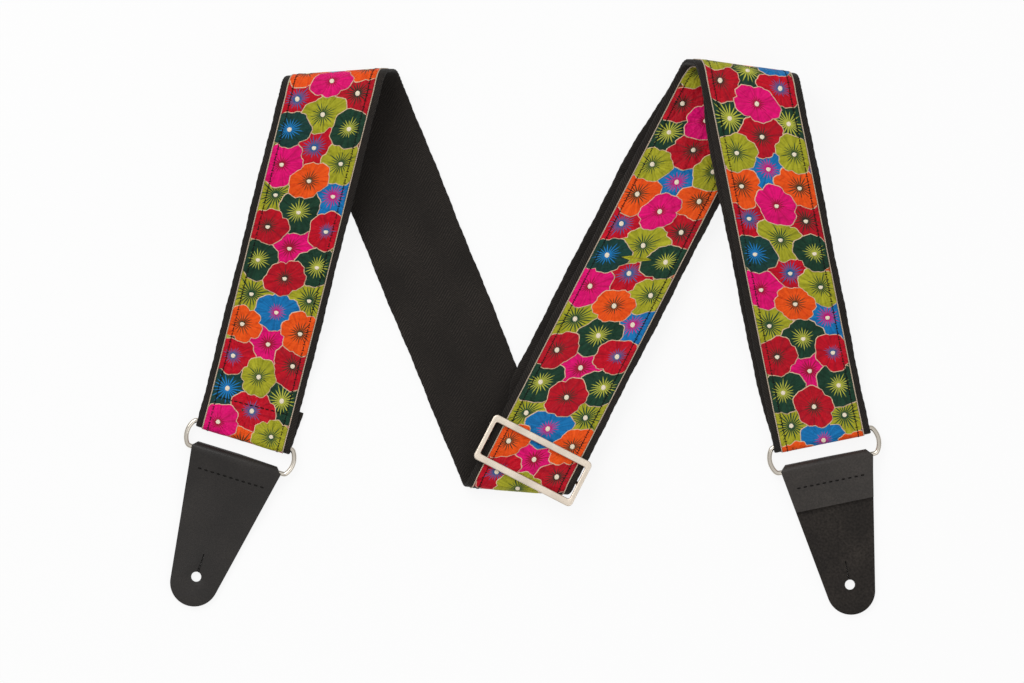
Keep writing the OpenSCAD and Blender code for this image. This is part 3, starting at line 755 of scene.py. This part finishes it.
def ribbon_rows(name, stretch, node):
    """Both rows along the ribbon: long stitches, and the short bites that pull the cloth down."""
    u = np.arange(stretch.u[0] + row_margin, stretch.u[-1] - row_margin, stitch_pitch)
    both = []
    for bite in (False, True):
        for side in (-1, 1):
            v = np.full(len(u), side * row_at)
            at = u + (0.5 * stitch_pitch if bite else 0.0)
            h = strap_t - (bite_sunk if bite else long_sunk)
            along = stretch.at(at + either_way, v, h) - stretch.at(at - either_way, v, h)
            facing = stretch.at(at, v, h + mm) - stretch.at(at, v, h)
            if bite:
                along = np.cross(facing, along)
            both.append((stretch.at(at, v, h), along, facing))
    parts = [sew(f"{name}_{i}", *(np.concatenate([both[2 * i][k], both[2 * i + 1][k]]) for k in range(3)),
                 size, black_thread, "strap")
             for i, size in enumerate((long_stitch, bite_stitch))]
    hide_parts(node)
    return parts


main_rows = ribbon_rows("ribbon_stitches", main, "ribbon_stitching")
tail_rows = ribbon_rows("ribbon_tail_stitches", tail, "ribbon_tail_stitching")


def flower_knots(name, stretch, knots):
    """One knot at each place on a stretch, given by run, side and height."""
    u, v, h = np.array(knots).T
    place = stretch.at(u, v, h)
    facing = stretch.at(u, v, h + mm) - place
    along = stretch.at(u + either_way, v, h) - stretch.at(u - either_way, v, h)
    made = sew(name, place, along, facing, knot_size, cream_thread, "strap")
    return made


knots = flower_knots("flower_knots", main, knots_left + knots_right)
tail_knots_piece = flower_knots("flower_tail_knots", tail,
                                [knot for knot in tail_knots if knot[0] < tail.u[-1] - knot_size[0]])


def cross_seam(name, node, body, across, width, count, size):
    """A straight row of stitches with its middle in the middle of its node."""
    low, high = (np.array(corner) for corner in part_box(node))
    x = (np.arange(count) + 0.5) / count * width - width / 2
    places = (low + high) / 2 + x[:, None] * across
    return sew(name, places, np.tile(across, (count, 1)), np.tile(UP, (count, 1)),
               size, black_thread, body, node)


ring_seam = cross_seam("ring_seam_stitches", "ring_seam", "strap", np.cross(way_1, UP),
                       width=35 * mm, count=13, size=hem_stitch)
slider_seam = cross_seam("slider_seam_stitches", "slider_seam", "buckle", np.cross(way_3, UP),
                         width=42 * mm, count=15, size=hem_stitch)

# The tail of strap under leg three slackens as the buckle climbs; here its pieces only get meshes of their own.
for made in (webbing_tail, ribbon_tail, tail_flowers, tail_knots_piece, *tail_rows):
    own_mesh(made)


# ---- The wire rings
# Two-inch loops bent from 2.4 mm steel wire and bright nickel plated. Each end bows out, and
# the ends of the wire butt together on the bar that the leather hides.
def plated_material(name, pale, dark, roughness, grain):
    """Nickel plate: a warm silver, dulled in patches 8 mm across, with polishing marks of some grain."""
    made, tree = new_material(name)
    place = add(tree, "ShaderNodeTexCoord", out="Object")
    cloud = add(tree, "ShaderNodeTexNoise", named={"Vector": place, "Scale": 0.12 / mm, "Detail": 3.0})
    colour = add(tree, "ShaderNodeMixRGB", cloud, linear(dark), linear(pale))
    rough = add(tree, "ShaderNodeMapRange", cloud, 0.3, 0.7, roughness * 0.8, roughness * 1.2)
    marks = add(tree, "ShaderNodeTexNoise", named={"Vector": place, "Scale": grain, "Detail": 2.0})
    bump = add(tree, "ShaderNodeBump", named={"Strength": 0.12, "Distance": 0.05 * mm, "Height": marks})
    return finish_material(made, add(tree, "ShaderNodeBsdfPrincipled", named={
        "Base Color": colour, "Metallic": 1.0, "Roughness": rough, "Normal": bump}))


bright_nickel = plated_material("nickel_plate_bright", "#DAD3C8", "#BAB2A5", 0.18, 1.5 / mm)
satin_nickel = plated_material("nickel_plate_satin", "#EADDCD", "#D0C3B2", 0.39, 0.9 / mm)
bar_half = web_w / 2 + 0.7 * mm
ring_h = np.linalg.norm(hinge_at["left_tab_hinge"] - hinge_at["left_ring_hinge"])
ring_bow = 2.4 * mm
wire_step, wire_rounding = 0.5 * mm, 6


def swept_wire(path, radius, sides=20):
    """Points and faces of a round wire along a closed path, whose plane faces up."""
    path = np.array(path)
    ahead = np.roll(path, -1, axis=0) - np.roll(path, 1, axis=0)
    side = np.cross(ahead, UP)
    side /= np.linalg.norm(side, axis=1)[:, None]
    turn = np.linspace(0, math.tau, sides, endpoint=False)
    points = (path[:, None] + radius * (np.cos(turn)[None, :, None] * side[:, None]
              + np.sin(turn)[None, :, None] * UP)).reshape(-1, 3)
    n = len(path)
    faces = [(i * sides + j, i * sides + (j + 1) % sides, (i + 1) % n * sides + (j + 1) % sides,
              (i + 1) % n * sides + j) for i in range(n) for j in range(sides)]
    return points, faces


def ring_path(middle, bar, cross):
    """Two straight bars joined by bowed ends, with the corners eased as bent wire is."""
    half_h = ring_h / 2
    bow_r = (half_h ** 2 + ring_bow ** 2) / (2 * ring_bow)
    bow = math.asin(half_h / bow_r)
    outline = []
    for s in (1, -1):
        outline += [(x * s, -half_h * s) for x in np.arange(-bar_half, bar_half, wire_step)]
        outline += [(s * (bar_half + ring_bow - bow_r + bow_r * math.cos(a)), s * bow_r * math.sin(a))
                    for a in np.linspace(-bow, bow, 34)[:-1]]
    outline = np.array(outline)
    for _ in range(wire_rounding):
        outline = 0.5 * outline + 0.25 * (np.roll(outline, 1, axis=0) + np.roll(outline, -1, axis=0))
    return middle + outline[:, :1] * bar + outline[:, 1:] * cross


for side in ("left", "right"):
    near, far = hinge_at[f"{side}_ring_hinge"], hinge_at[f"{side}_tab_hinge"]
    wire = ring_path((near + far) / 2, bar_way[side], unit(near - far))
    make_piece(f"{side}_wire_ring", *swept_wire(wire, wire_r), [bright_nickel],
                             f"ring_{side}")
    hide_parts(f"{side}_ring")

# ---- The buckle
# A flat rectangular slider, stamped and satin nickel plated, with eased edges. A round centre bar
# on two short posts carries the strap's end.
window_w = web_w + 2 * layer_gap
end_w, bar_w, slider_t = 2.5 * mm, 3.6 * mm, 2.2 * mm
slider_w = window_w + 2 * end_w
ease_r, corner_r, window_r = 0.55 * mm, 2.4 * mm, 1 * mm
post_in, post_ease, spindle_ease = 0.05 * mm, 0.35 * mm, 0.2 * mm
post_back, post_fore, post_under = 0.2 * mm, 3.2 * mm, 0.4 * mm  # how far a post reaches past the bar
frame_low = strap_t + layer_gap
slider_z = leg_3_z - drop_rate * (slider_at - np.linalg.norm(fold_2.end - corner_2))
rod_low = rod_back_z + rod_loop_r - slider_z
along_3 = np.array(joints["buckle_slide"]["axis"])
across_3 = unit(np.cross(along_3, UP))
up_3 = np.cross(across_3, along_3)


def on_slider(x, y, z):
    """A place in the slider's own axes: across the strap, along leg three and out of it."""
    return rod + slider_z * UP + x * across_3 + y * along_3 + z * up_3


def rounded_rectangle(w, l, r, count=8):
    """A closed outline with this many points round each corner."""
    return [(sx * (w / 2 - r) + r * math.cos(a), sy * (l / 2 - r) + r * math.sin(a))
            for sx, sy, start in ((1, 1, 0), (-1, 1, 90), (-1, -1, 180), (1, -1, 270))
            for a in np.radians(np.linspace(start, start + 90, count))]


def slider_mesh():
    """The frame is lofted through its outline and window, from the underside over the face."""
    arc = [math.radians(t) for t in np.linspace(0, 90, 5)]
    edge = ([(ease_r * (1 - math.sin(a)), ease_r * (1 - math.cos(a))) for a in arc]
            + [(ease_r * (1 - math.cos(a)), slider_t - ease_r * (1 - math.sin(a))) for a in arc])
    outer = [(z, rounded_rectangle(slider_w - 2 * inset, slider_len - 2 * inset, corner_r - inset))
             for inset, z in edge]
    window = [(z, rounded_rectangle(window_w + 2 * inset, slider_len - 2 * bar_w + 2 * inset,
                                    window_r + inset)) for inset, z in reversed(edge)]
    loops = [[on_slider(x, y, frame_low + z) for x, y in loop] for z, loop in outer + window]
    n, rows = len(loops[0]), len(loops)
    faces = [(r * n + i, r * n + (i + 1) % n, (r + 1) % rows * n + (i + 1) % n, (r + 1) % rows * n + i)
             for r in range(rows) for i in range(n)]
    return [p for loop in loops for p in loop], faces


def bevelled_block(low, high, edge):
    """A post as an eased box, in the slider's own axes."""
    block = bmesh.new()
    bmesh.ops.create_cube(block, size=1)
    for v in block.verts:
        v.co = [low[i] + (v.co[i] + 0.5) * (high[i] - low[i]) for i in range(3)]
    bmesh.ops.bevel(block, geom=block.edges[:], offset=edge, segments=3, profile=0.5, affect="EDGES")
    return block


def spindle(radius, length, sides=28):
    """The centre bar, along X, with eased ends."""
    rows = [(-length / 2, radius - spindle_ease), (-length / 2 + spindle_ease, radius),
            (length / 2 - spindle_ease, radius), (length / 2, radius - spindle_ease)]
    points = [(x, r * math.cos(a), r * math.sin(a)) for x, r in rows
              for a in np.linspace(0, math.tau, sides, endpoint=False)]
    faces = [(k * sides + i, (k + 1) * sides + i, (k + 1) * sides + (i + 1) % sides,
              k * sides + (i + 1) % sides) for k in range(3) for i in range(sides)]
    faces += [tuple(range(sides)), tuple(3 * sides + i for i in reversed(range(sides)))]
    return points, faces


slider_points, slider_faces = slider_mesh()
for s in (-1, 1):
    x = s * (slider_w - end_w) / 2
    post = bevelled_block((x - end_w / 2 + post_in, -rod_r - post_back, rod_low - rod_r - post_under),
                          (x + end_w / 2 - post_in, post_fore, frame_low + slider_t / 2), post_ease)
    first = len(slider_points)
    slider_points += [on_slider(*v.co) for v in post.verts]
    slider_faces += [tuple(first + v.index for v in f.verts) for f in post.faces]
    post.free()
rod_points, rod_faces = spindle(rod_r, window_w + end_w)
first = len(slider_points)
slider_points += [on_slider(x, y, z + rod_low) for x, y, z in rod_points]
slider_faces += [tuple(first + i for i in f) for f in rod_faces]
slider = make_piece("slider_frame", slider_points, slider_faces, [satin_nickel], "buckle")
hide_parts("slider")

# ---- The leather tabs
# Vegetable-tanned leather, dyed black through, 2 mm thick and cut with a bevelled die. The end is
# folded round the ring and sewn; the left tab lies grain up, and the right one shows its flesh.
edge_ease = 0.28 * mm               # at most, because short edges hold it back
edge_turn, level_enough = math.radians(40), 0.9
hole_r, slit_reach = 2.5 * mm, 12.2 * mm
slit_w, slit_top, slit_foot = 0.6 * mm, 0.4 * mm, 0.004 * mm
hole_at = {mount["name"]: np.array(mount["pos_m"]) for mount in frame["record"]["mounts"]}


def leather_material(name, dark, pale, roughness, grain, bump_by, fuzz):
    """Black leather: pores and fine wrinkles on the grain, or raised fibres on the flesh.

    The grain is counted in pores, and both are drawn two or three times too coarse so that they show.
    """
    made, tree = new_material(name)
    place = add(tree, "ShaderNodeTexCoord", out="Object")
    pores = add(tree, "ShaderNodeTexVoronoi", named={"Vector": place, "Scale": grain}, out="Distance")
    fibres = add(tree, "ShaderNodeTexNoise", named={"Vector": place, "Scale": grain * 0.7, "Detail": 6.0})
    cloud = add(tree, "ShaderNodeTexNoise", named={"Vector": place, "Scale": 0.045 / mm, "Detail": 4.0})
    shade = add(tree, "ShaderNodeMath", cloud, fibres, operation="MULTIPLY")
    shade = add(tree, "ShaderNodeMapRange", shade, 0.12, 0.42, 0.0, 1.0)
    colour = add(tree, "ShaderNodeMixRGB", shade, linear(dark), linear(pale))
    height = add(tree, "ShaderNodeMixRGB", fuzz, pores, fibres)
    rough = add(tree, "ShaderNodeMapRange", cloud, 0.3, 0.7, roughness * 0.9, roughness * 1.1)
    bump = add(tree, "ShaderNodeBump", named={"Strength": bump_by, "Distance": 0.15 * mm, "Height": height})
    return finish_material(made, add(tree, "ShaderNodeBsdfPrincipled", named={
        "Base Color": colour, "Roughness": rough, "Specular IOR Level": 0.32 * (1 - 0.4 * fuzz),
        "Normal": bump}))


grain_leather = leather_material("leather_grain_black", "#191614", "#2A2623", 0.46, 1.8 / mm, 0.25, 0.0)
flap_leather = leather_material("leather_flap_black", "#24201D", "#3A3531", 0.5, 1.5 / mm, 0.3, 0.0)
flesh_leather = leather_material("leather_flesh_black", "#1E1B19", "#3A3531", 0.9, 1.2 / mm, 0.6, 1.0)


def slit_ends(cut, bar, hole):
    """The corners of the slit beyond the hole, each with its distance from the slit's line."""
    ahead = unit(flat(hole - bar))
    aside = np.cross(ahead, UP)
    found = {}
    for v in cut.verts:
        from_hole = flat(np.array(v.co) - hole)
        x, y = from_hole @ aside, from_hole @ ahead
        if abs(x) < slit_w and -slit_reach < y < -0.9 * hole_r:
            found[v] = x * aside
    return found


def close_slit(cut, bar, hole):
    """The slit is cut with a knife: it gapes above, and its walls touch below."""
    for v, beside in slit_ends(cut, bar, hole).items():
        gap = slit_top if v.co.z > hole[2] else slit_foot
        v.co = np.array(v.co) - (1 - gap / slit_w) * beside


def settle_order(cut):
    """Easing leaves a solid's parts in an order that changes from run to run, so they are sorted."""
    for i, v in enumerate(sorted(cut.verts, key=lambda v: tuple(v.co))):
        v.index = i
    for parts in (cut.edges, cut.faces):
        for i, part in enumerate(sorted(parts, key=lambda part: sorted(v.index for v in part.verts))):
            part.index = i
    for parts in (cut.verts, cut.edges, cut.faces):
        parts.sort(key=lambda part: part.index)


def leather_tab(side, flesh_up):
    """The tab's own solid with its cut edges eased, grain and flesh sides told apart."""
    cut = bmesh.new()
    cut.from_mesh(frame["nodes"][f"{side}_tab"].data)
    bmesh.ops.remove_doubles(cut, verts=cut.verts[:], dist=0.002 * mm)
    bar, hole = hinge_at[f"{side}_tab_hinge"], hole_at[f"{side}_button_hole"]
    close_slit(cut, bar, hole)
    bmesh.ops.dissolve_limit(cut, angle_limit=math.radians(1), verts=cut.verts[:], edges=cut.edges[:])
    slit = slit_ends(cut, bar, hole)
    sharp = [e for e in cut.edges if e.is_manifold and e.calc_face_angle(0) > edge_turn
             and not any(v in slit for v in e.verts)]
    bmesh.ops.bevel(cut, geom=sharp, offset=edge_ease, segments=3, profile=0.5, affect="EDGES",
                    clamp_overlap=True)
    bmesh.ops.triangulate(cut, faces=[f for f in cut.faces if len(f.verts) > 4])
    settle_order(cut)
    mesh = bpy.data.meshes.new(f"{side}_leather_tab")
    cut.to_mesh(mesh)
    cut.free()
    flesh_z = bar_z - ring_loop_r
    mesh.materials.append(flap_leather if flesh_up else grain_leather)
    mesh.materials.append(flesh_leather)
    for face in mesh.polygons:
        face.use_smooth = True
        if flesh_up:
            face.material_index = int(face.normal.z > level_enough
                                      and face.center.z < flesh_z + 0.05 * mm)
        else:
            face.material_index = int(face.normal.z < -level_enough and face.center.z > 0.05 * mm)
    made = bpy.data.objects.new(mesh.name, mesh)
    bpy.context.scene.collection.objects.link(made)
    mesh.set_sharp_from_angle(angle=math.radians(35))
    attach(made, f"tab_{side}")
    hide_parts(f"{side}_tab")
    return made


for side, flesh_up in (("left", False), ("right", True)):
    leather_tab(side, flesh_up)
    cross_seam(f"{side}_tab_stitches", f"{side}_tab_stitching", f"tab_{side}", bar_way[side],
               width=35.5 * mm, count=11, size=tab_stitch)

# ---- The table, the light and the camera
# A white table under a broad soft lamp and a weaker one across from it, seen square from above.
camera_height, view_width, sensor = 4.0, 0.5094, 36.0
view_centre = (-6.7 * mm, -2.5 * mm)
table_glow = 0.88                   # share of the table's white that is its own light
world_light, world_seen = 0.55, 1.0
mirror_low, mirror_high = -0.45, 0.3  # what metal and gloss see of it besides, low down and above

camera = bpy.data.cameras.new("camera")
camera.sensor_width = sensor
camera.lens = sensor * camera_height / view_width
camera_object = bpy.data.objects.new("camera", camera)
camera_object.location = (*view_centre, camera_height)
bpy.context.scene.collection.objects.link(camera_object)
bpy.context.scene.camera = camera_object


def lamp(name, size, power, place, turn):
    """A square lamp of some size in metres and power in watts."""
    data = bpy.data.lights.new(name, "AREA")
    data.shape, data.size, data.energy = "SQUARE", size, power
    made = bpy.data.objects.new(name, data)
    made.location, made.rotation_euler = place, turn
    bpy.context.scene.collection.objects.link(made)


lamp("softbox", 1.2, 17.0, (-0.8, 1.0, 1.5), (math.radians(-33), math.radians(-27), 0))
lamp("fill", 1.6, 6.5, (1.1, -1.1, 1.4), (math.radians(37), math.radians(37), 0))


def table_material():
    """White table: lit evenly to the eye, and still dimmed where something stands over it."""
    made, tree = new_material("table_white")
    seen = add(tree, "ShaderNodeLightPath", out=None)
    direct = add(tree, "ShaderNodeMath", seen.outputs["Is Camera Ray"], seen.outputs["Is Glossy Ray"],
                 operation="ADD")
    direct = add(tree, "ShaderNodeMath", direct, seen.outputs["Is Transmission Ray"], operation="ADD",
                 use_clamp=True)
    share = add(tree, "ShaderNodeMath", direct, table_glow, operation="MULTIPLY")
    plain = add(tree, "ShaderNodeBsdfDiffuse", linear("#F2F2F2"))
    white = add(tree, "ShaderNodeEmission", (1, 1, 1, 1), 1.0)
    return finish_material(made, add(tree, "ShaderNodeMixShader", share, plain, white))


bpy.ops.mesh.primitive_plane_add(size=8, location=(0, 0, -0.3 * mm))
table = bpy.context.active_object
table.name = "table"
table.data.materials.append(table_material())

world = bpy.data.worlds.new("studio")
bpy.context.scene.world = world
world.use_nodes = True
world.node_tree.nodes.clear()
seen = add(world.node_tree, "ShaderNodeLightPath", out=None)
direct = add(world.node_tree, "ShaderNodeMath", seen.outputs["Is Camera Ray"],
             seen.outputs["Is Transmission Ray"], operation="ADD", use_clamp=True)
strength = add(world.node_tree, "ShaderNodeMapRange", direct, 0.0, 1.0, world_light, world_seen)
heading = add(world.node_tree, "ShaderNodeTexCoord", out="Generated")
height = add(world.node_tree, "ShaderNodeSeparateXYZ", heading, out="Z")
mirrored = add(world.node_tree, "ShaderNodeMapRange", height, 0.1, 0.6, mirror_low, mirror_high)
mirrored = add(world.node_tree, "ShaderNodeMath", seen.outputs["Is Glossy Ray"], mirrored,
               operation="MULTIPLY")
strength = add(world.node_tree, "ShaderNodeMath", strength, mirrored, operation="ADD")
light = add(world.node_tree, "ShaderNodeBackground", (1, 1, 1, 1), strength)
add(world.node_tree, "ShaderNodeOutputWorld", light, out=None)
bpy.context.scene.view_settings.view_transform = "Standard"
